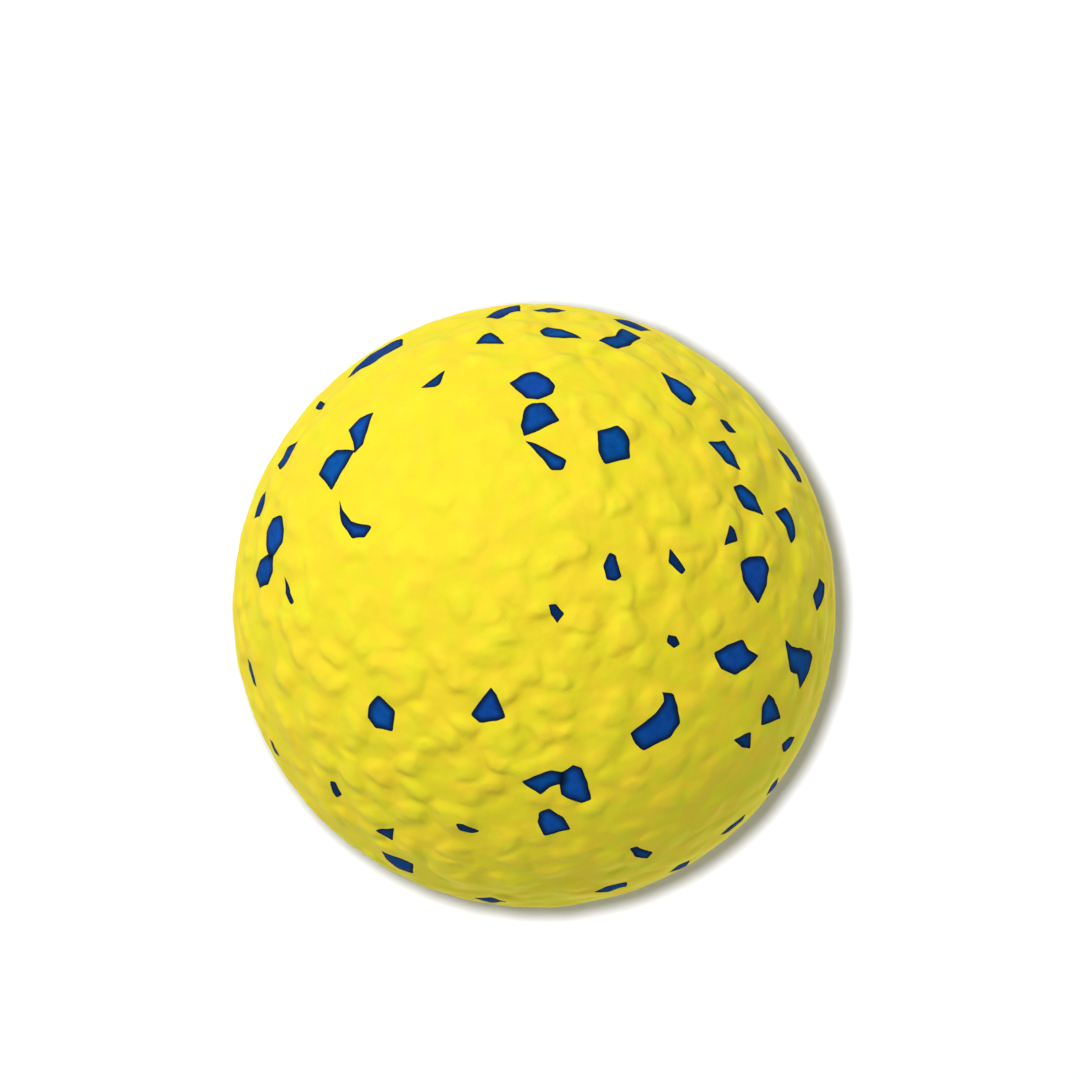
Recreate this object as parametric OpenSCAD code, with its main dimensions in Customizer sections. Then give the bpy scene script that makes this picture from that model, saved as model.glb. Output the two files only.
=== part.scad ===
// Weighted dog ball: two rubber cover halves bonded round a heavy core, with blue flecks set flush in them.
// Millimetres. The origin is the ball's centre, +Z points out of the upper half, and the seam is at Z = 0.

/* [Ball] */
// Outer diameter of the ball
ball_d = 50; // [46:0.5:76]

/* [Core] */
// Diameter of the heavy core
core_d = 28; // [16:0.5:32]
// Thickness of the cement film round the core and inside the lap joint
bond_line = 0.1; // [0.05:0.05:0.3]

/* [Lap joint] */
// Diameter of the spigot that the lower half raises into the upper half
lap_d = 38; // [34:0.5:42]
// Height of the spigot above the seam
lap_h = 2; // [1:0.25:4]

/* [Flecks] */
// Thickness of each fleck at its middle, which is the depth of its pocket
fleck_depth = 1; // [0.5:0.1:2]
// Thickness of the film between two flecks that meet
touch_gap = 0.06; // [0.02:0.02:0.2]
// Least height of a fleck's corners above the seam
seam_land = 0.5; // [0.3:0.1:1.5]
// Turn of the lower half's flecks about the ball's axis, in degrees
lower_turn = 130; // [0:5:355]

/* [Hidden] */
$fn = 180;
cover_yellow = [1, 0.88, 0.16];
fleck_blue = [0.05, 0.31, 0.65];
core_grey = [0.27, 0.27, 0.29];
ball_r = ball_d / 2;
cavity_r = core_d / 2 + bond_line;
recess_r = lap_d / 2 + bond_line;
recess_h = lap_h + bond_line;
// How far a cutting shape runs past the face that it cuts
overcut = 1;

// Corners of each fleck in turn, looking straight down on the upper half, measured from the ball's centre
face_flecks = [
    // Top edge and the row below it
    [[-4.1, 24.0], [-3.0, 24.6], [-1.2, 24.9], [-1.2, 24.4], [-3.0, 23.9]],
    [[-0.1, 24.6], [1.2, 24.8], [2.7, 24.6], [1.2, 24.3]],
    [[-4.9, 21.8], [-4.2, 22.5], [-3.6, 22.7], [-3.0, 22.4], [-2.5, 21.8]],
    [[0.5, 22.9], [1.1, 23.3], [2.3, 23.1], [4.0, 22.2], [2.4, 22.3], [0.9, 22.4]],
    [[5.3, 22.0], [6.7, 22.5], [7.3, 23.0], [8.9, 22.3], [8.0, 21.8], [6.9, 21.4]],
    [[6.5, 23.8], [7.9, 23.7], [9.0, 23.2], [9.8, 22.8], [8.9, 22.8], [7.6, 23.4]],
    [[-15.6, 19.0], [-13.6, 20.9], [-11.0, 22.2], [-11.0, 21.7], [-13.2, 20.3]],
    [[-9.4, 18.1], [-8.5, 18.8], [-7.4, 19.5], [-7.8, 18.4], [-8.2, 18.1]],
    // Cluster above the middle
    [[-2.1, 18.5], [-1.0, 19.1], [0.1, 19.4], [1.2, 18.9], [1.7, 18.3], [1.5, 17.6], [0.3, 17.1],
        [-0.7, 17.2]],
    [[-0.8, 16.4], [-0.2, 16.8], [0.9, 16.8], [1.5, 16.1], [2.1, 15.3], [0.6, 14.7], [-0.8, 14.1],
        [-1.1, 14.9]],
    [[-0.8, 13.7], [0.0, 13.5], [1.5, 12.7], [2.7, 12.1], [2.3, 11.3], [1.4, 11.2], [0.5, 12.3]],
    [[5.2, 14.5], [6.9, 14.9], [7.5, 14.4], [7.9, 13.7], [7.9, 12.3], [7.0, 12.1], [5.8, 11.8],
        [5.3, 12.8]],
    [[10.5, 19.5], [11.4, 18.9], [12.9, 18.0], [13.4, 17.2], [13.0, 16.7], [12.2, 17.0], [11.4, 17.7]],
    // Left side
    [[-13.2, 16.0], [-13.6, 15.2], [-14.1, 13.4], [-14.9, 12.7], [-15.0, 13.6], [-15.4, 14.6], [-14.4, 15.6]],
    [[-16.4, 12.9], [-14.9, 12.9], [-15.5, 11.9], [-16.2, 10.6], [-16.8, 9.6], [-17.9, 11.0], [-17.2, 12.1]],
    [[-16.2, 8.8], [-15.9, 8.0], [-15.1, 7.0], [-13.4, 6.6], [-14.0, 5.7], [-15.1, 5.6], [-15.9, 6.9]],
    [[-22.4, 9.5], [-22.8, 9.0], [-23.3, 7.2], [-22.9, 7.5], [-22.5, 8.7]],
    [[-21.8, 7.3], [-21.0, 7.5], [-20.8, 6.4], [-20.9, 5.3], [-21.7, 4.2], [-22.0, 4.2], [-22.3, 5.1],
        [-22.3, 6.1]],
    [[-22.7, 3.8], [-22.0, 4.3], [-21.7, 4.3], [-21.8, 2.9], [-22.2, 1.8], [-22.9, 1.5], [-23.2, 2.5]],
    [[-20.8, 2.5], [-20.5, 1.9], [-19.8, 0.3], [-20.1, 0.1], [-20.6, 1.0]],
    // Lower left
    [[-17.0, -14.6], [-16.6, -14.7], [-16.1, -15.8], [-16.5, -16.0], [-16.8, -15.5]],
    [[-13.2, -18.6], [-11.7, -18.5], [-11.8, -19.6], [-12.3, -19.3]],
    [[-12.7, -20.4], [-11.6, -20.9], [-10.1, -21.5], [-10.1, -22.2], [-11.2, -21.8], [-12.4, -21.0]],
    [[-6.5, -18.0], [-5.9, -18.0], [-4.5, -18.8], [-5.3, -18.9], [-6.2, -18.6]],
    [[-13.0, -7.4], [-12.3, -8.0], [-11.6, -8.8], [-11.8, -10.4], [-13.2, -10.1], [-13.8, -9.2],
        [-13.7, -8.2]],
    [[-3.6, -6.7], [-3.1, -7.4], [-2.4, -9.2], [-3.2, -9.5], [-4.5, -9.7], [-5.3, -9.0], [-4.6, -8.0]],
    // Below the middle
    [[-1.1, -14.5], [0.4, -13.9], [1.3, -13.5], [2.2, -13.7], [2.2, -14.7], [1.2, -15.0], [0.5, -15.6]],
    [[2.1, -13.8], [3.2, -13.1], [3.9, -13.4], [4.4, -14.6], [4.7, -16.0], [3.9, -16.3], [2.2, -15.6]],
    [[0.4, -17.2], [1.2, -16.8], [2.4, -17.5], [3.0, -18.5], [0.8, -19.0], [0.3, -17.9]],
    [[7.9, -20.1], [8.5, -19.9], [9.8, -20.4], [9.4, -20.9], [8.3, -20.7]],
    [[4.9, -23.7], [6.1, -23.3], [7.7, -22.9], [7.6, -23.3], [6.2, -23.7]],
    [[15.4, -19.0], [16.3, -18.2], [17.5, -17.2], [17.2, -17.8], [16.0, -18.8]],
    // Lower right
    [[10.5, -7.1], [11.5, -7.3], [11.8, -8.4], [12.0, -9.7], [11.2, -10.8], [9.0, -11.9], [8.4, -11.4],
        [8.0, -10.5], [9.8, -9.0], [10.7, -7.9]],
    [[14.9, -3.9], [16.1, -3.2], [17.3, -2.8], [17.8, -3.7], [18.5, -4.1], [17.6, -5.1], [16.6, -5.7],
        [15.4, -5.2]],
    [[20.8, -2.8], [21.4, -3.4], [22.9, -3.7], [23.1, -4.3], [22.8, -5.4], [22.0, -6.9], [21.8, -5.6],
        [21.2, -5.5], [20.9, -4.2]],
    [[19.4, -7.3], [19.9, -7.7], [20.4, -9.3], [18.7, -9.9], [18.9, -8.2]],
    [[16.4, -11.1], [17.3, -10.6], [17.9, -10.4], [17.8, -11.8], [17.1, -11.6]],
    [[20.6, -12.2], [20.5, -11.5], [21.1, -10.9], [21.6, -10.9], [21.2, -11.7]],
    // Middle and right side
    [[11.1, -2.4], [11.7, -2.5], [12.1, -3.2], [11.6, -3.5], [11.0, -3.0]],
    [[1.2, 0.1], [1.8, 0.2], [2.5, -0.6], [1.9, -1.4], [1.4, -0.7]],
    [[6.3, 4.5], [6.8, 4.2], [7.0, 3.2], [7.2, 2.5], [6.7, 2.1], [6.0, 2.2], [5.7, 3.4]],
    [[11.2, 4.8], [11.8, 4.1], [12.5, 3.0], [12.2, 2.6], [11.1, 3.6]],
    [[17.1, 3.6], [17.9, 4.1], [19.0, 4.1], [19.4, 3.0], [19.2, 1.7], [18.6, 0.2], [17.3, 2.0]],
    [[16.1, 6.7], [16.6, 6.2], [16.9, 5.4], [15.7, 5.0]],
    [[16.6, 9.9], [17.2, 10.1], [18.4, 9.1], [19.1, 7.5], [17.4, 8.2], [17.0, 8.9]],
    [[20.1, 7.8], [20.8, 8.2], [21.4, 7.1], [21.8, 5.8], [21.4, 5.2], [20.9, 6.4]],
    [[14.4, 13.6], [15.8, 13.8], [16.4, 12.9], [17.1, 11.2], [15.9, 11.8], [15.2, 12.7]],
    [[15.3, 15.5], [16.1, 15.4], [16.9, 14.4], [16.2, 14.5]],
    [[20.3, 13.2], [21.3, 12.2], [22.2, 10.2], [21.8, 10.3], [21.0, 11.8]],
    [[23.8, 2.3], [24.1, 1.7], [23.9, 0.4], [23.5, -0.5], [23.2, 0.8]]
];
// Faint flecks at the edge of the view, drawn in the same way
edge_flecks = [
    [[-18.2, 16.4], [-17.8, 17.0], [-17.4, 16.9], [-17.7, 16.3]],
    [[-19.6, 13.7], [-20.5, 13.1], [-21.4, 11.7], [-21.1, 11.3], [-20.3, 12.4]],
    [[-23.9, -4.3], [-23.6, -5.0], [-23.2, -6.8], [-23.5, -6.5], [-23.9, -5.2]],
    [[-22.0, -11.0], [-21.7, -11.3], [-21.2, -12.6], [-21.6, -12.2]],
    [[-5.0, -24.3], [-3.6, -24.3], [-2.3, -24.5], [-3.6, -24.7]],
    [[11.1, -22.2], [12.0, -21.5], [12.9, -21.1], [12.5, -21.6]],
    [[19.2, -15.8], [19.6, -14.9], [20.2, -14.2], [20.0, -15.0]]
];
all_flecks = concat(face_flecks, edge_flecks);
// Radius of the ball on which the flecks are drawn, whose edge the farthest corner reaches
drawn_r = max([for (corners = all_flecks) for (p = corners) norm(p)]);
// How near the middles of two flecks lie, on the drawn ball, for the later one to be cut back where they meet
touch_reach = 6;

// Distances from the axis, on the drawn ball, that part the lower half's flecks into three groups
pole_zone_r = 15;
middle_zone_r = 22;

fleck_names = [for (i = [1:len(face_flecks)]) str(i < 10 ? "fleck_0" : "fleck_", i)];

// The direction from the ball's centre to the surface over a drawn point, held clear of the seam
function over(p) =
    let (land = seam_land * drawn_r / ball_r)
    let (rise = sqrt(max(drawn_r * drawn_r - p * p, land * land)))
    [p.x, p.y, rise] / norm([p.x, p.y, rise]);

// The mean of a list of vectors
function mean(points, i = 0) =
    i == len(points) ? 0 * points[0] : points[i] / len(points) + mean(points, i + 1);

// The direction of a fleck's middle
function middle(corners) =
    let (sum = mean([for (p = corners) over(p)]))
    sum / norm(sum);

// A surface direction as a point of the flat outline seen square on from the fleck's middle
function square_on(d, bearing, tilt) =
    let (along = cos(bearing) * d.x + sin(bearing) * d.y)
    ball_r * [cos(tilt) * along - sin(tilt) * d.z, cos(bearing) * d.y - sin(bearing) * d.x];

// How far a fleck's middle lies from the axis on the drawn ball
function off_axis(corners) = drawn_r * norm([middle(corners).x, middle(corners).y]);

// The earlier flecks near a fleck, given its place in the list
function earlier_near(i) = [
    for (j = [0:1:i - 1])
        if (drawn_r * norm(middle(all_flecks[i]) - middle(all_flecks[j])) < touch_reach) all_flecks[j]
];

module ball() sphere(r = ball_r);

// The straight-sided block that cuts a fleck's pocket and gives the fleck its outline, grown by a margin
module fleck_block(corners, margin = 0) {
    m = middle(corners);
    bearing = atan2(m.y, m.x);
    tilt = acos(m.z);
    outline = [for (p = corners) square_on(over(p), bearing, tilt)];
    reach = mean([for (p = outline) norm(p)]);
    rotate([0, tilt, bearing])
        translate([0, 0, ball_r - fleck_depth - margin])
            linear_extrude(fleck_depth + margin + overcut)
                polygon(outline * (1 + margin / reach));
}

// One fleck, given its place in the list, with its face level with the ball's
module fleck(i)
    color(fleck_blue)
        difference() {
            intersection() {
                ball();
                fleck_block(all_flecks[i]);
            }
            for (corners = earlier_near(i))
                fleck_block(corners, touch_gap);
        }

// Places the upper half's layout on the lower half
module turned_over() rotate([180, 0, lower_turn]) children();

// The lower half's flecks whose middles lie between two distances from the axis
module lower_flecks(from_r, to_r)
    turned_over()
        for (i = [0:len(all_flecks) - 1])
            if (off_axis(all_flecks[i]) >= from_r && off_axis(all_flecks[i]) < to_r)
                fleck(i);

module half_ball()
    intersection() {
        ball();
        cylinder(r = ball_r + overcut, h = ball_r + overcut);
    }

module upper_cover()
    color(cover_yellow)
        difference() {
            half_ball();
            sphere(r = cavity_r);
            translate([0, 0, -overcut])
                cylinder(r = recess_r, h = recess_h + overcut);
            for (corners = all_flecks)
                fleck_block(corners);
        }

module lower_cover()
    color(cover_yellow)
        difference() {
            union() {
                mirror([0, 0, 1])
                    half_ball();
                translate([0, 0, -overcut])
                    cylinder(d = lap_d, h = lap_h + overcut);
            }
            sphere(r = cavity_r);
            turned_over()
                for (corners = all_flecks)
                    fleck_block(corners);
        }

module weight_core() color(core_grey) sphere(d = core_d);

module upper_edge_flecks()
    for (i = [len(face_flecks):len(all_flecks) - 1])
        fleck(i);

upper_cover();
lower_cover();
weight_core();
for (i = [0:len(face_flecks) - 1])
    fleck(i);
upper_edge_flecks();  // edge_flecks
lower_flecks(0, pole_zone_r);  // lower_pole_flecks
lower_flecks(pole_zone_r, middle_zone_r);  // lower_middle_flecks
lower_flecks(middle_zone_r, drawn_r);  // lower_rim_flecks
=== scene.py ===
# Weighted dog ball: two yellow rubber half covers round a heavy core, with blue chips set flush in the skin
import math

import bmesh
import bpy
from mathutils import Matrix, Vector


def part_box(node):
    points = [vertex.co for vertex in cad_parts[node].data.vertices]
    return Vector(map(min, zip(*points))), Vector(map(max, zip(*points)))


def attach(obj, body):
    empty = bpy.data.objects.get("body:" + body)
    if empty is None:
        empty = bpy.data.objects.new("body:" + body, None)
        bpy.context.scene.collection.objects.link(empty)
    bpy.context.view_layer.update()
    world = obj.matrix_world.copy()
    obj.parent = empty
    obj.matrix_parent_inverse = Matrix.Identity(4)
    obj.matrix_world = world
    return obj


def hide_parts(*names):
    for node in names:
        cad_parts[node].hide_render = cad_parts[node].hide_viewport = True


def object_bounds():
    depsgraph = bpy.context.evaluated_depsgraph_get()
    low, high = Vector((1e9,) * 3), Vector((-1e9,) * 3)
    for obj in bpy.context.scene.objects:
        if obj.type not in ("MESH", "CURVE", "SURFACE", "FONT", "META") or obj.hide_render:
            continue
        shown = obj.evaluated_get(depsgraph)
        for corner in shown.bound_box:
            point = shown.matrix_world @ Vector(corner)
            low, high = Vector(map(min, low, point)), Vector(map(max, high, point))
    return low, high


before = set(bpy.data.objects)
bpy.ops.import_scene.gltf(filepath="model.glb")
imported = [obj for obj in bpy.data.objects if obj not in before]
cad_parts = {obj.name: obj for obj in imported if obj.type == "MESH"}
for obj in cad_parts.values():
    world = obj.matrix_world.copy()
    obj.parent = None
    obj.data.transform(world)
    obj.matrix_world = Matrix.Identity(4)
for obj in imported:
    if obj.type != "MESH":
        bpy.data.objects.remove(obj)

cadLow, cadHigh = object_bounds()  # box of the plain solids, before anything is dressed
mm = 0.001
ballRadius = (cadHigh.x - cadLow.x) / 2
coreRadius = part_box("weight_core")[1].z
noiseSpan = (0.3, 0.7)  # where most of a noise's values lie
studio = bpy.context.scene
studio.view_settings.view_transform = "Standard"
print(f"Frame: {len(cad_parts)} solids, ball {2 * ballRadius / mm:.1f} mm across")


# Small helpers for node trees: an input is a plain value or another node's socket
def addNode(tree, kind, inputs=None, **settings):
    node = tree.nodes.new(kind)
    for key, value in settings.items():
        setattr(node, key, value)
    for key, value in (inputs or {}).items():
        if isinstance(value, bpy.types.NodeSocket):
            tree.links.new(value, node.inputs[key])
        else:
            node.inputs[key].default_value = value
    return node


def nodeOut(tree, kind, inputs=None, output=0, **settings):
    return addNode(tree, kind, inputs, **settings).outputs[output]


def mathOut(tree, operation, first, second=0.0):
    return nodeOut(tree, "ShaderNodeMath", {0: first, 1: second}, operation=operation)


def vectorOut(tree, operation, first, second=(0, 0, 0)):
    output = "Value" if operation in ("LENGTH", "DISTANCE") else "Vector"
    return nodeOut(tree, "ShaderNodeVectorMath", {0: first, 1: second}, output, operation=operation)


def scaledOut(tree, vector, scale):
    return nodeOut(tree, "ShaderNodeVectorMath", {0: vector, "Scale": scale}, "Vector", operation="SCALE")


def rangeOut(tree, value, fromLow, fromHigh, toLow, toHigh):
    ends = {"Value": value, "From Min": fromLow, "From Max": fromHigh, "To Min": toLow, "To Max": toHigh}
    return nodeOut(tree, "ShaderNodeMapRange", ends, "Result", interpolation_type="SMOOTHSTEP")


def noiseOut(tree, vector, scale, detail=2.0, output="Fac"):
    return nodeOut(tree, "ShaderNodeTexNoise", {"Vector": vector, "Scale": scale, "Detail": detail}, output)


def mixColours(tree, factor, first, second):
    ends = {0: factor, 6: first, 7: second}  # the mix node's colour sockets
    return nodeOut(tree, "ShaderNodeMix", ends, 2, data_type="RGBA")


def riseOut(tree, place):
    return nodeOut(tree, "ShaderNodeSeparateXYZ", {0: place}, "Z")


def offSeamOut(tree, place):
    return mathOut(tree, "ABSOLUTE", riseOut(tree, place))


# Camera: straight above the photographed half, far off, so that the rim shows as it does in the picture
photoCamera = {
    "lens": 1200,  # millimetres
    "sensor": 36,
    "viewWidth": 89.2 * mm,  # width of the whole picture at the ball's middle
    "aimAt": (0.46 * mm, 5.42 * mm),  # middle of the picture, beside and above the ball's middle
    "nearest": 0.1,  # what it sees starts and ends here, in distances to the ball
    "farthest": 3,
}


def makeCamera(plan):
    camera = bpy.data.objects.new("photoCamera", bpy.data.cameras.new("photoCamera"))
    studio.collection.objects.link(camera)
    camera.data.lens = plan["lens"]
    camera.data.sensor_width = plan["sensor"]
    away = plan["viewWidth"] * plan["lens"] / plan["sensor"]
    camera.location = (*plan["aimAt"], away)
    camera.data.clip_start = plan["nearest"] * away
    camera.data.clip_end = plan["farthest"] * away
    studio.camera = camera


makeCamera(photoCamera)


# Light: an even sky, a lamp at the upper left that rakes the pebbles on the far side of the ball,
# and a narrow high one for the floor, which throws the thin shadow
studioLight = {
    "skyColour": (0.90, 1.0, 1.05, 1),
    "sky": 0.29,
    "white": (1, 1, 1, 1),  # of the backdrop and the far floor, at full strength
    "lamps": {
        "rakingLamp": {
            "from": (-0.29, 0.35, 0.89),
            "away": 1.9,  # metres
            "width": 0.33,
            "light": 2.64,  # watts per square metre on a face that looks at it
            "colour": (1.0, 0.92, 0.94),
            "on": "ball",
        },
        "floorLamp": {
            "from": (-0.0287, 0.0201, 1.0),
            "away": 1.066,
            "width": 0.06,
            "light": 3.05,
            "colour": (1.0, 1.0, 1.0),
            "on": "floor",
        },
    },
}
lampReach = {  # what each lamp falls on
    "ball": bpy.data.collections.new("ballPieces"),
    "floor": bpy.data.collections.new("floorPieces"),
}


# 1 for rays that see the backdrop straight, in a shine or through glass, and 0 for the light on the ball
def seenOut(tree):
    path = addNode(tree, "ShaderNodeLightPath").outputs
    shine = mathOut(tree, "MAXIMUM", path["Is Glossy Ray"], path["Is Transmission Ray"])
    return mathOut(tree, "MAXIMUM", path["Is Camera Ray"], shine)


def makeSky(plan):
    world = bpy.data.worlds.new("studioSky")
    studio.world = world
    world.use_nodes = True
    tree = world.node_tree
    tree.nodes.clear()
    direction = nodeOut(tree, "ShaderNodeTexCoord", output="Generated")
    below = mathOut(tree, "LESS_THAN", riseOut(tree, direction), 0.0)  # the far floor, white as the near one
    white = mathOut(tree, "MAXIMUM", seenOut(tree), below)
    sky = {
        "Color": mixColours(tree, white, plan["skyColour"], plan["white"]),
        "Strength": nodeOut(tree, "ShaderNodeMix", {"Factor": white, "A": plan["sky"], "B": 1.0}, "Result"),
    }
    addNode(tree, "ShaderNodeOutputWorld", {"Surface": nodeOut(tree, "ShaderNodeBackground", sky)})


def makeLamp(name, plan):
    lamp = bpy.data.objects.new(name, bpy.data.lights.new(name, "AREA"))
    studio.collection.objects.link(lamp)
    lamp.data.shape = "DISK"
    lamp.data.size = plan["width"]
    lamp.data.energy = plan["light"] * math.pi * plan["away"] ** 2
    lamp.data.color = plan["colour"]
    lamp.location = Vector(plan["from"]).normalized() * plan["away"]
    lamp.rotation_euler = lamp.location.to_track_quat("Z", "Y").to_euler()
    lamp.visible_camera = False
    lamp.light_linking.receiver_collection = lampReach[plan["on"]]


makeSky(studioLight)
for lampName, lampPlan in studioLight["lamps"].items():
    makeLamp(lampName, lampPlan)
print("Camera and light set")


# Relief of the ball's skin: warped round pebbles, a slow swell and fine pores, with two calm patches,
# at the upper left and the lower right of the picture, and a calm band along the seam
ballRelief = {
    "Pebble Size": 2.8 * mm,
    "Pebble Depth": 0.21 * mm,
    "Swell Size": 4.2 * mm,
    "Swell Depth": 0.10 * mm,
    "Pore Size": 1.3 * mm,
    "Pore Depth": 0.08 * mm,
    "Upper Calm": (-11 * mm, 12.5 * mm, 18.5 * mm),
    "Upper Share": 0.60,  # of the full depth, at the middle of the patch
    "Lower Calm": (16 * mm, -16 * mm, 10.8 * mm),
    "Lower Share": 0.42,
    "Calm Reach": 22 * mm,
    "Seam Share": 0.4,
    "Seam Reach": 7 * mm,
    "Shift": (0.4, 0.1, 0.7),  # place in the noise that the pattern is taken from
}
reliefForm = {
    "warpWaves": 0.8,  # waves of the warp in the length of a pebble
    "warpReach": 0.9,  # in pebbles
    "roundness": 0.5,
    "pebbleSide": (0.15, 0.70),  # where a pebble's side starts and ends, in pebbles from its middle
    "calmFade": (0.3, 1.0),  # where a calm patch starts and ends to fade, in its reach
}


# Depth below the full radius at a place, for the skin's shape and for the bump of its finish
def reliefOut(tree, given, place):
    offSeam = offSeamOut(tree, place)
    place = vectorOut(tree, "ADD", place, given["Shift"])

    def wavesOut(size, share=1.0, output="Fac"):
        return noiseOut(tree, place, mathOut(tree, "DIVIDE", share, given[size]), 1.0, output)

    warp = mathOut(tree, "MULTIPLY", given["Pebble Size"], reliefForm["warpReach"])
    warp = scaledOut(tree, wavesOut("Pebble Size", reliefForm["warpWaves"], "Color"), warp)
    pebbles = {
        "Vector": vectorOut(tree, "ADD", place, warp),
        "Scale": mathOut(tree, "DIVIDE", 1.0, given["Pebble Size"]),
        "Smoothness": reliefForm["roundness"],
    }
    pebbles = nodeOut(tree, "ShaderNodeTexVoronoi", pebbles, "Distance", feature="SMOOTH_F1")
    pebbles = rangeOut(tree, pebbles, *reliefForm["pebbleSide"], 0, 1)
    pebbles = mathOut(tree, "MULTIPLY", pebbles, given["Pebble Depth"])
    swell = rangeOut(tree, wavesOut("Swell Size"), *noiseSpan, 0, 1)
    swell = mathOut(tree, "MULTIPLY", swell, given["Swell Depth"])
    pores = mathOut(tree, "MULTIPLY", wavesOut("Pore Size"), given["Pore Depth"])
    depth = mathOut(tree, "ADD", mathOut(tree, "ADD", pebbles, swell), pores)

    for side in ("Upper", "Lower"):
        middle = vectorOut(tree, "ADD", given[f"{side} Calm"], given["Shift"])
        away = mathOut(tree, "DIVIDE", vectorOut(tree, "DISTANCE", place, middle), given["Calm Reach"])
        calm = rangeOut(tree, away, *reliefForm["calmFade"], given[f"{side} Share"], 1.0)
        depth = mathOut(tree, "MULTIPLY", depth, calm)
    calm = rangeOut(tree, offSeam, 0, given["Seam Reach"], given["Seam Share"], 1)
    return mathOut(tree, "MULTIPLY", depth, calm)


# Finishes
yellowRubber = {
    "warm": (0.96, 0.745, 0.034, 1),
    "cool": (0.87, 0.805, 0.028, 1),
    # colour of the painted shade in the pebbles' valleys, which get darker the deeper they lie
    "creaseShade": (0.77, 0.64, 0.014, 1),
    "mottle": 2.6 * mm,
    "mottleSpan": (0.35, 0.65),  # noise values of the warm and the cool
    "creaseShadeDepth": 0.30 * mm,
    "creaseShadeShare": 0.35,
    "relief": ballRelief,
    "reliefShare": 1.1,
    "grain": 0.22 * mm,
    "grainHeight": 0.03 * mm,
    "roughness": (0.62, 0.80),
    "shine": 0.06,
}
blueRubber = {
    "blue": (0.002, 0.100, 0.36, 1),
    "violet": (0.008, 0.075, 0.40, 1),
    "navy": (0.002, 0.045, 0.21, 1),
    # near-black that the chips darken to: painted shade along their outlines and near the seam, and the
    # small chips' own darker colour
    "edge": (0.003, 0.012, 0.035, 1),
    "edgeShadeReach": 0.75 * mm,
    "smallChip": (5 * mm * mm, 15 * mm * mm),  # surface of a chip that is darkest, and of one in full colour
    "smallShare": 0.8,
    "seamShadeBand": (5 * mm, 13 * mm),  # height of the chips with the most painted shade, at the seam, and of those in full colour
    "seamShadeShare": 0.5,
    "mottle": 0.9 * mm,
    "mottleSpan": (0.3, 0.8),
    "mottleShare": 0.5,
    "grain": 0.18 * mm,
    "grainHeight": 0.02 * mm,
    "roughness": (0.72, 0.90),
    "shine": 0.03,
}
filledRubber = {
    "body": (0.035, 0.037, 0.040, 1),
    "fleck": (0.22, 0.21, 0.19, 1),
    "fleckSize": 0.7 * mm,
    "fleckSide": (0.12, 0.24),  # where a fleck's edge starts and ends, in sizes from its middle
    "grain": 0.3 * mm,
    "grainHeight": 0.05 * mm,
    "roughness": (0.6, 0.85),
    "shine": 0.3,
}
rubberGrain = {
    "strength": 0.6,
    "roughPatch": 2.5,  # size of a rough patch, in grains
}


def newMaterial(name):
    material = bpy.data.materials.new(name)
    material.use_nodes = True
    material.node_tree.nodes.clear()
    return material, material.node_tree


# A matt rubber: fine grain in the bump, uneven roughness, and a colour that the finish works out, with
# painted shade in it for the yellow and the blue
def makeRubber(name, look, colourOut):
    material, tree = newMaterial(name)
    place = nodeOut(tree, "ShaderNodeTexCoord", output="Object")
    bump = {
        "Height": noiseOut(tree, place, 1 / look["grain"], 3.0),
        "Distance": look["grainHeight"],
        "Strength": rubberGrain["strength"],
    }
    if "relief" in look:
        depth = reliefOut(tree, look["relief"], place)
        deep = {"Height": depth, "Distance": look["reliefShare"], "Strength": 1.0}
        bump["Normal"] = nodeOut(tree, "ShaderNodeBump", deep, invert=True)
    rough = noiseOut(tree, place, 1 / (rubberGrain["roughPatch"] * look["grain"]))
    inputs = {
        "Base Color": colourOut(tree, place, look),
        "Roughness": rangeOut(tree, rough, *noiseSpan, *look["roughness"]),
        "Normal": nodeOut(tree, "ShaderNodeBump", bump),
        "Specular IOR Level": look["shine"],
    }
    addNode(tree, "ShaderNodeOutputMaterial", {"Surface": nodeOut(tree, "ShaderNodeBsdfPrincipled", inputs)})
    return material


def attributeOut(tree, name):
    return nodeOut(tree, "ShaderNodeAttribute", output="Fac", attribute_name=name)


def yellowColour(tree, place, look):
    blotch = rangeOut(tree, noiseOut(tree, place, 1 / look["mottle"], 3.0), *look["mottleSpan"], 0, 1)
    ground = mixColours(tree, blotch, look["warm"], look["cool"])
    # painted shade: the deeper a point lies below the full radius, the further it darkens to the valley
    # colour
    deep = rangeOut(tree, attributeOut(tree, "dip"), 0, look["creaseShadeDepth"], 0, look["creaseShadeShare"])
    return mixColours(tree, deep, ground, look["creaseShade"])


def blueColour(tree, place, look):
    blotch = noiseOut(tree, place, 1 / look["mottle"])
    blotch = rangeOut(tree, blotch, *look["mottleSpan"], 0, look["mottleShare"])
    shade = mathOut(tree, "ADD", blotch, attributeOut(tree, "tone"))
    ground = mixColours(tree, attributeOut(tree, "hue"), look["blue"], look["violet"])
    ground = mixColours(tree, shade, ground, look["navy"])
    # painted shade along each chip's outline, where the gap to its pocket would be shaded
    near = rangeOut(tree, attributeOut(tree, "rim"), 0, look["edgeShadeReach"], 1, 0)
    small = rangeOut(tree, attributeOut(tree, "surface"), *look["smallChip"], look["smallShare"], 0)
    # painted shade on the chips near the seam, which lie at the ball's rim in the view from above
    low = rangeOut(tree, offSeamOut(tree, place), *look["seamShadeBand"], look["seamShadeShare"], 0)
    # the strongest of the painted shades and the small chips' own darkening
    dark = mathOut(tree, "MAXIMUM", mathOut(tree, "MAXIMUM", near, small), low)
    return mixColours(tree, dark, ground, look["edge"])


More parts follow.
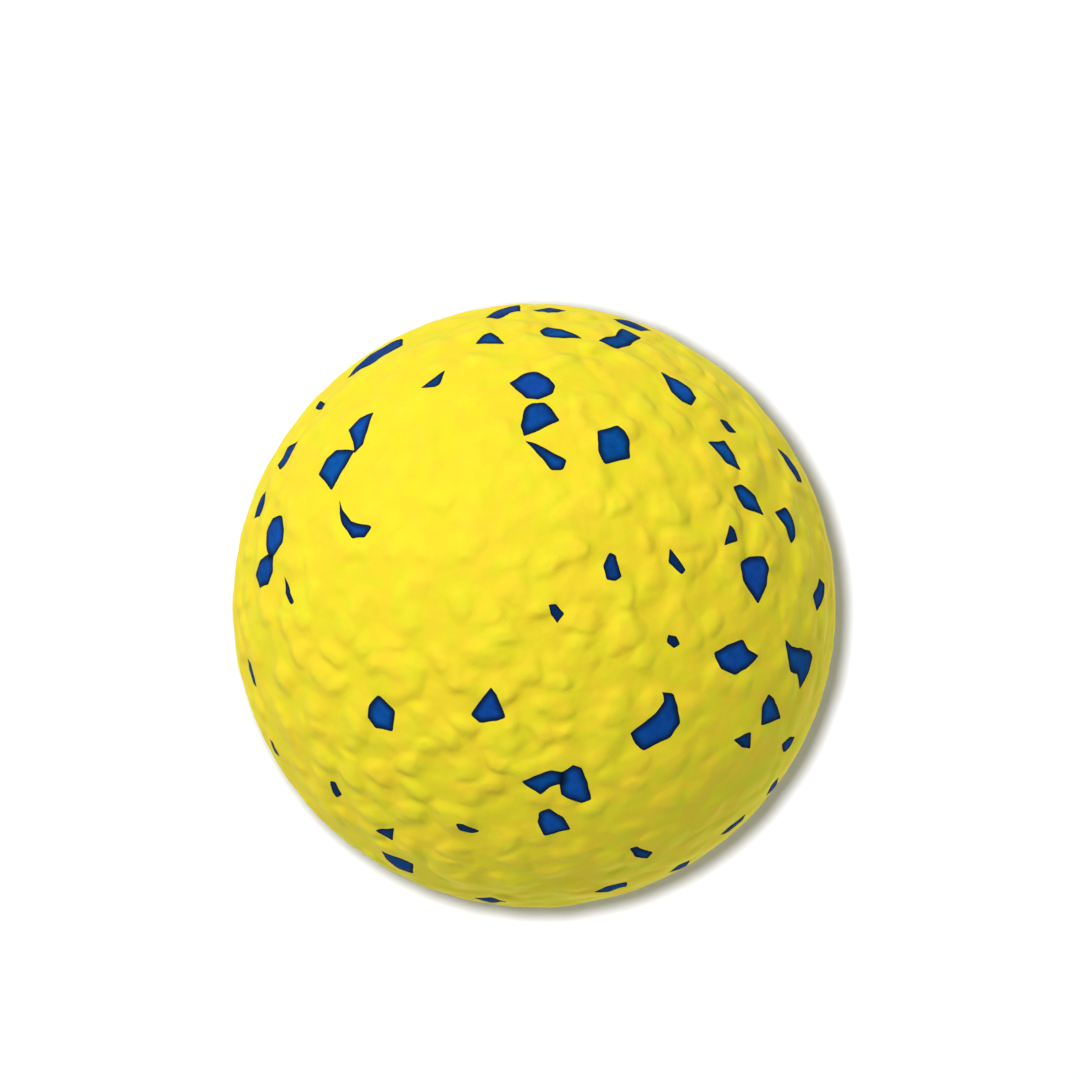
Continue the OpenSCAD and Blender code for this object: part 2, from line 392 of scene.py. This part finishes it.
def filledColour(tree, place, look):
    cells = {"Vector": place, "Scale": 1 / look["fleckSize"]}
    spot = nodeOut(tree, "ShaderNodeTexVoronoi", cells, "Distance")
    return mixColours(tree, rangeOut(tree, spot, *look["fleckSide"], 1, 0), look["body"], look["fleck"])


coverFinish = makeRubber("yellowRubber", yellowRubber, yellowColour)
chipFinish = makeRubber("blueRubber", blueRubber, blueColour)
coreFinish = makeRubber("filledRubber", filledRubber, filledColour)
print("Finishes made")


# How the skin is cut and its edges are eased, the same for every piece
skinCut = {
    "weld": 0.002 * mm,  # points nearer than this become one after the cut
    "sharpTurn": math.radians(38),  # an edge that turns more is an outline
    "outerBand": 0.45 * mm,  # depth of the outer face, pebbles and all
    "grooveSteps": 360,
}
edgeEase = {
    "seamLand": (0.5 * mm, 1.5 * mm),  # heights off the seam where the waver starts, and is full
    "onEdge": 0.001 * mm,  # a point this near an outline belongs to it
    "spread": 0.8 * mm,  # how far an outline's shift reaches into the faces beside it
    "easeFrom": 0.3 * mm,  # from here to the spread's end the easing fades
    "easeTurns": 8,
}
chipShades = {"tone": (-0.15, 0.30), "hue": (0.0, 1.0)}  # lowest and highest of each chip's own shade
socketKinds = {
    float: "NodeSocketFloat",
    int: "NodeSocketInt",
    tuple: "NodeSocketVector",
    bpy.types.Material: "NodeSocketMaterial",
}


# A tree with a named input for each value that it will be given
def newTree(name, values):
    tree = bpy.data.node_groups.new(name, "GeometryNodeTree")
    tree.interface.new_socket(name="Geometry", in_out="INPUT", socket_type="NodeSocketGeometry")
    for label, value in values.items():
        tree.interface.new_socket(name=label, in_out="INPUT", socket_type=socketKinds[type(value)])
    tree.interface.new_socket(name="Geometry", in_out="OUTPUT", socket_type="NodeSocketGeometry")
    return tree, addNode(tree, "NodeGroupInput").outputs


def endTree(tree, piece, finish):
    piece = nodeOut(tree, "GeometryNodeRealizeInstances", {"Geometry": piece})
    piece = nodeOut(tree, "GeometryNodeSetMaterial", {"Geometry": piece, "Material": finish})
    addNode(tree, "NodeGroupOutput", {"Geometry": piece})
    return tree


def blurOut(tree, vector, turns, weight=1.0):
    blur = {"Value": vector, "Iterations": turns, "Weight": weight}
    return nodeOut(tree, "GeometryNodeBlurAttribute", blur, data_type="FLOAT_VECTOR")


def storedOut(tree, piece, label, value, kind="FLOAT", domain="POINT"):
    stored = {"Geometry": piece, "Name": label, "Value": value}
    return nodeOut(tree, "GeometryNodeStoreNamedAttribute", stored, data_type=kind, domain=domain)


def numberOut(tree):
    return nodeOut(tree, "GeometryNodeInputNamedAttribute", {"Name": "solid"}, data_type="INT")


def sumOut(tree, value, group, kind):
    total = {"Value": value, "Group ID": group}
    return nodeOut(tree, "GeometryNodeAccumulateField", total, "Total", data_type=kind, domain="FACE")


# Makes the chips' outlines waver, rounds their corners and sinks them a little. A chip and its pocket have
# the same outline, so both move alike. The outer faces beside it are eased, and the seam stays straight.
def softenEdges(tree, given, place, piece, edges, outside):
    sway = noiseOut(tree, place, mathOut(tree, "DIVIDE", 1.0, given["Waver Size"]), 1.0, "Color")
    sway = vectorOut(tree, "SUBTRACT", sway, (0.5, 0.5, 0.5))  # a noise's middle
    reach = rangeOut(tree, offSeamOut(tree, place), *edgeEase["seamLand"], 0, 1)
    reach = mathOut(tree, "MULTIPLY", given["Edge Waver"], reach)
    swayed = vectorOut(tree, "ADD", place, scaledOut(tree, sway, reach))
    outwards = vectorOut(tree, "NORMALIZE", blurOut(tree, swayed, given["Corner Turns"]))
    radius = mathOut(tree, "SUBTRACT", vectorOut(tree, "LENGTH", place), given["Edge Sink"])
    drawn = {"Geometry": edges, "Position": scaledOut(tree, outwards, radius)}
    drawn = nodeOut(tree, "GeometryNodeSetPosition", drawn)

    nearest = nodeOut(tree, "GeometryNodeSampleNearest", {"Geometry": edges}, "Index", domain="POINT")
    ends = []
    for line in (edges, drawn):
        end = {"Geometry": line, "Value": place, "Index": nearest}
        ends.append(nodeOut(tree, "GeometryNodeSampleIndex", end, "Value", data_type="FLOAT_VECTOR"))
    apart = vectorOut(tree, "DISTANCE", place, ends[0])
    onEdge = mathOut(tree, "LESS_THAN", apart, edgeEase["onEdge"])
    shift = vectorOut(tree, "SUBTRACT", ends[1], ends[0])
    shift = scaledOut(tree, shift, rangeOut(tree, apart, 0, edgeEase["spread"], 1, 0))
    moved = vectorOut(tree, "ADD", place, shift)
    slack = mathOut(tree, "MULTIPLY", outside, mathOut(tree, "SUBTRACT", 1.0, onEdge))
    fade = rangeOut(tree, apart, edgeEase["easeFrom"], edgeEase["spread"], 1, 0)
    moved = blurOut(tree, moved, edgeEase["easeTurns"], mathOut(tree, "MULTIPLY", slack, fade))
    piece = nodeOut(tree, "GeometryNodeSetPosition", {"Geometry": piece, "Position": moved})
    return piece, drawn


# A ball with the relief, and a parting groove round its middle that a square bar leaves, laid corner down
def pebbledBall(tree, given, place):
    ball = {"Radius": given["Radius"], "Subdivisions": given["Fineness"]}
    ball = nodeOut(tree, "GeometryNodeMeshIcoSphere", ball, "Mesh")
    depth = mathOut(tree, "MULTIPLY", reliefOut(tree, given, place), -1.0)
    sunk = scaledOut(tree, vectorOut(tree, "NORMALIZE", place), depth)
    ball = nodeOut(tree, "GeometryNodeSetPosition", {"Geometry": ball, "Offset": sunk})
    circle = "GeometryNodeCurvePrimitiveCircle"
    ring = nodeOut(tree, circle, {"Resolution": skinCut["grooveSteps"], "Radius": given["Radius"]})
    bar = nodeOut(tree, circle, {"Resolution": 4, "Radius": given["Seam Depth"]})
    ring = nodeOut(tree, "GeometryNodeCurveToMesh", {"Curve": ring, "Profile Curve": bar})
    cut = {"operation": "DIFFERENCE", "solver": "MANIFOLD"}
    return nodeOut(tree, "GeometryNodeMeshBoolean", {0: ball, 1: ring}, "Mesh", **cut)


# Each loose solid gets the number that its own walls carry, its surface, and a shade of its own
def markSolids(tree, given, piece):
    island = nodeOut(tree, "GeometryNodeInputMeshIsland", output="Island Index")
    number = numberOut(tree)
    walls = mathOut(tree, "GREATER_THAN", number, 0.5)  # faces cut by the pebbled ball have no number
    number = mathOut(tree, "DIVIDE", sumOut(tree, number, island, "INT"), sumOut(tree, walls, island, "INT"))
    piece = storedOut(tree, piece, "solid", number, "INT", "FACE")
    area = sumOut(tree, nodeOut(tree, "GeometryNodeInputMeshFaceArea"), island, "FLOAT")
    piece = storedOut(tree, piece, "surface", area, "FLOAT", "FACE")
    for turn, (label, (low, high)) in enumerate(chipShades.items()):
        chance = {"ID": island, "Seed": mathOut(tree, "ADD", given["Seed"], turn), 2: low, 3: high}
        chance = nodeOut(tree, "FunctionNodeRandomValue", chance, 1, data_type="FLOAT")
        piece = storedOut(tree, piece, label, chance)
    return piece


# Skin tree: takes a plain solid that stands proud of the ball, and cuts it with a ball that has the relief
def makeSkinTree(values):
    tree, given = newTree("ballSkin", values)
    place = nodeOut(tree, "GeometryNodeInputPosition")
    cut = addNode(tree, "GeometryNodeMeshBoolean", operation="INTERSECT", solver="MANIFOLD")
    for solid in (pebbledBall(tree, given, place), given["Geometry"]):
        tree.links.new(solid, cut.inputs[1])
    piece = {"Geometry": cut.outputs["Mesh"], "Distance": skinCut["weld"]}
    piece = nodeOut(tree, "GeometryNodeMergeByDistance", piece)

    # Sharp edges on the outside, which are the chips' outlines and the seam's
    dip = mathOut(tree, "SUBTRACT", given["Radius"], vectorOut(tree, "LENGTH", place))
    angle = nodeOut(tree, "GeometryNodeInputMeshEdgeAngle", output="Unsigned Angle")
    sharp = mathOut(tree, "GREATER_THAN", angle, skinCut["sharpTurn"])
    outside = mathOut(tree, "LESS_THAN", dip, skinCut["outerBand"])
    edges = {"Geometry": piece, "Selection": mathOut(tree, "MULTIPLY", sharp, outside)}
    edges = nodeOut(tree, "GeometryNodeSeparateGeometry", edges, "Selection", domain="EDGE")
    piece, edges = softenEdges(tree, given, place, piece, edges, outside)

    # What the finishes read: depth below the full radius, and distance from the nearest of those edges, from
    # which they paint shade in the valleys and along the chips' outlines
    rim = nodeOut(tree, "GeometryNodeProximity", {0: edges}, "Distance", target_element="EDGES")
    piece = storedOut(tree, storedOut(tree, piece, "dip", dip), "rim", rim)
    piece = markSolids(tree, given, piece)

    piece = nodeOut(tree, "GeometryNodeSetShadeSmooth", {"Geometry": piece})
    piece = {"Geometry": piece, "Selection": sharp, "Shade Smooth": False}
    piece = nodeOut(tree, "GeometryNodeSetShadeSmooth", piece, domain="EDGE")
    return endTree(tree, piece, given["Finish"])


# Pick tree: keeps the solids with one number
def makePickTree(values):
    tree, given = newTree("pickSolid", values)
    same = mathOut(tree, "COMPARE", numberOut(tree), given["Number"])
    piece = {"Geometry": given["Geometry"], "Selection": same}
    piece = nodeOut(tree, "GeometryNodeSeparateGeometry", piece, "Selection", domain="FACE")
    return endTree(tree, piece, given["Finish"])


# A closed copy of some solids, numbered from 1, with the outer face pushed out for the skin tree to cut
proudFace = {
    "doubles": 0.0001 * mm,
    "band": 0.01 * mm,  # depth in which a point counts as one of the outer face
    "growth": 1.04,  # how far that face is pushed out
}


def proudCopy(name, nodeNames, radius):
    shape = bmesh.new()
    numbers = shape.faces.layers.int.new("solid")
    for number, nodeName in enumerate(nodeNames, 1):
        first = len(shape.faces)
        shape.from_mesh(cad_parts[nodeName].data)
        shape.faces.ensure_lookup_table()
        for face in shape.faces[first:]:
            face[numbers] = number
    bmesh.ops.remove_doubles(shape, verts=shape.verts, dist=proudFace["doubles"])
    for vert in shape.verts:
        if vert.co.length > radius - proudFace["band"]:
            vert.co *= proudFace["growth"]
    mesh = bpy.data.meshes.new(name)
    shape.to_mesh(mesh)
    shape.free()
    if "custom_normal" in mesh.attributes:
        mesh.attributes.remove(mesh.attributes["custom_normal"])
    return mesh


# Runs a tree on a mesh and gives a plain object, with the modifier gone
def runTree(name, mesh, tree, values):
    piece = bpy.data.objects.new(name, mesh)
    studio.collection.objects.link(piece)
    modifier = piece.modifiers.new(tree.name, "NODES")
    modifier.node_group = tree
    for item in tree.interface.items_tree:
        if item.in_out == "INPUT" and item.name in values:
            modifier[item.identifier] = values[item.name]
    made = bpy.data.meshes.new_from_object(piece.evaluated_get(bpy.context.evaluated_depsgraph_get()))
    piece.modifiers.clear()
    piece.data = made
    made.name = name
    return piece


def fitPiece(piece, nodeName):
    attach(piece, "root")
    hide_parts(nodeName)
    lampReach["ball"].objects.link(piece)


# Half covers, with the low pebbles that the picture shows at the right and below, calmer at the upper left
coverSkin = {
    "Radius": ballRadius,
    "Fineness": 8,  # levels of splitting of the ball that cuts the skin
    **ballRelief,
    "Seam Depth": 0.36 * mm,
    "Edge Waver": 0.24 * mm,
    "Waver Size": 0.9 * mm,
    "Edge Sink": 0.05 * mm,
    "Corner Turns": 6,  # rounds of smoothing along an outline
    "Seed": 4,
    "Finish": coverFinish,
}
skinTree = makeSkinTree(coverSkin)
for pieceName, nodeName in (("upperCover", "upper_cover"), ("lowerCover", "lower_cover")):
    cover = runTree(pieceName, proudCopy(pieceName, [nodeName], ballRadius), skinTree, coverSkin)
    fitPiece(cover, nodeName)
    print(f"{pieceName}: {len(cover.data.polygons)} faces")


# Blue chips, cut in one go by the covers' skin, so that they lie flush, and then picked out one by one
chipSkin = {**coverSkin, "Finish": chipFinish}
pickTree = makePickTree({"Number": 0, "Finish": chipFinish})
groupNames = {
    "edge_flecks": "upperEdgeChips",
    "lower_pole_flecks": "lowerPoleChips",
    "lower_middle_flecks": "lowerMiddleChips",
    "lower_rim_flecks": "lowerRimChips",
}
chipNodes = sorted(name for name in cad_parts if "fleck" in name)
allChips = runTree("allChips", proudCopy("allChips", chipNodes, ballRadius), skinTree, chipSkin)
for number, nodeName in enumerate(chipNodes, 1):
    pieceName = groupNames.get(nodeName, nodeName.replace("fleck_", "blueChip"))
    chip = runTree(pieceName, allChips.data, pickTree, {"Number": number, "Finish": chipFinish})
    fitPiece(chip, nodeName)
bpy.data.objects.remove(allChips)
print(f"Chips: {len(chipNodes)} pieces")


# Heavy core, a cast ball with a pitted face and its own parting groove
coreSkin = {
    "Radius": coreRadius,
    "Fineness": 6,
    "Pebble Size": 1.6 * mm,
    "Pebble Depth": 0.08 * mm,
    "Swell Size": 6 * mm,
    "Swell Depth": 0.05 * mm,
    "Pore Size": 0.9 * mm,
    "Pore Depth": 0.08 * mm,
    "Upper Calm": (0, 0, 0),
    "Upper Share": 1.0,  # the full depth everywhere, so nothing is calm
    "Lower Calm": (0, 0, 0),
    "Lower Share": 1.0,
    "Calm Reach": 1 * mm,
    "Seam Share": 1.0,
    "Seam Reach": 1 * mm,
    "Shift": (0.9, 0.2, 0.3),
    "Seam Depth": 0.22 * mm,
    "Edge Waver": 0.0,
    "Waver Size": 1 * mm,
    "Edge Sink": 0.0,
    "Corner Turns": 0,
    "Seed": 9,
    "Finish": coreFinish,
}
core = runTree("heavyCore", proudCopy("heavyCore", ["weight_core"], coreRadius), skinTree, coreSkin)
fitPiece(core, "weight_core")
print(f"Core: {len(core.data.polygons)} faces")


# Pale floor under the ball, white to the camera, shaded by the ball and clear from below
paleFloor = {
    "reach": 0.25,  # metres to each side
    "white": (0.90, 0.895, 0.98, 1),  # a trace of blue, against the yellow that the ball throws on it
}


def makeFloor(plan, level):
    half = plan["reach"]
    corners = [(-half, -half, level), (half, -half, level), (half, half, level), (-half, half, level)]
    mesh = bpy.data.meshes.new("paleFloor")
    mesh.from_pydata(corners, [], [(0, 1, 2, 3)])
    floor = bpy.data.objects.new("paleFloor", mesh)
    studio.collection.objects.link(floor)
    material, tree = newMaterial("paleFloor")
    ground = nodeOut(tree, "ShaderNodeBsdfDiffuse", {"Color": plan["white"]})
    clear = nodeOut(tree, "ShaderNodeBsdfTransparent")
    below = nodeOut(tree, "ShaderNodeNewGeometry", output="Backfacing")
    ground = nodeOut(tree, "ShaderNodeMixShader", {0: below, 1: ground, 2: clear})
    addNode(tree, "ShaderNodeOutputMaterial", {"Surface": ground})
    mesh.materials.append(material)
    lampReach["floor"].objects.link(floor)


seenLow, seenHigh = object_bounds()
makeFloor(paleFloor, seenLow.z)
print("Floor laid")
